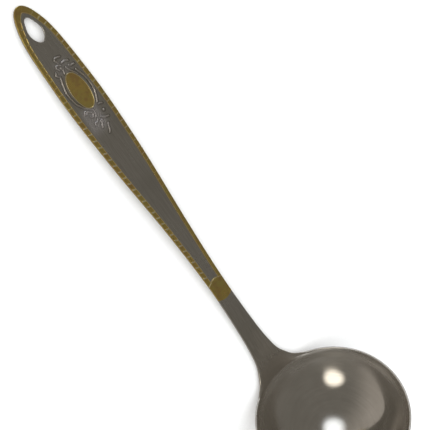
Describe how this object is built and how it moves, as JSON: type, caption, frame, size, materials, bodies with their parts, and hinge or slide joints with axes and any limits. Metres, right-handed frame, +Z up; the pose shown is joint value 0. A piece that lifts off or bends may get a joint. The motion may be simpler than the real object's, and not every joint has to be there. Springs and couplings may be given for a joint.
{
  "type": "soup ladle",
  "caption": "Stainless soup ladle lying on a table, with a round bowl and a long arched handle with gilded border, collar and medallion, and a hanging hole.",
  "frame": {"origin": "middle of the ladle's box on the table that it lies on, resting on the bowl's side and the back of the handle's tip", "axes": "+X along the handle from the bowl to the tip, +Y across the handle, +Z up from the table"},
  "size_m": [0.3112, 0.0894, 0.0764],
  "materials": {
    "polished_steel": "worn mirror polish",
    "brushed_steel": "satin, embossed",
    "weld_steel": "ground weld",
    "gilding": "satin gold plating"
  },
  "bodies": {
    "root": {"bowl": "polished_steel", "handle": "brushed_steel", "neck_weld": "weld_steel", "gilt_collar": "gilding", "gilt_border": "gilding", "gilt_medallion": "gilding"}
  },
  "joints": []
}
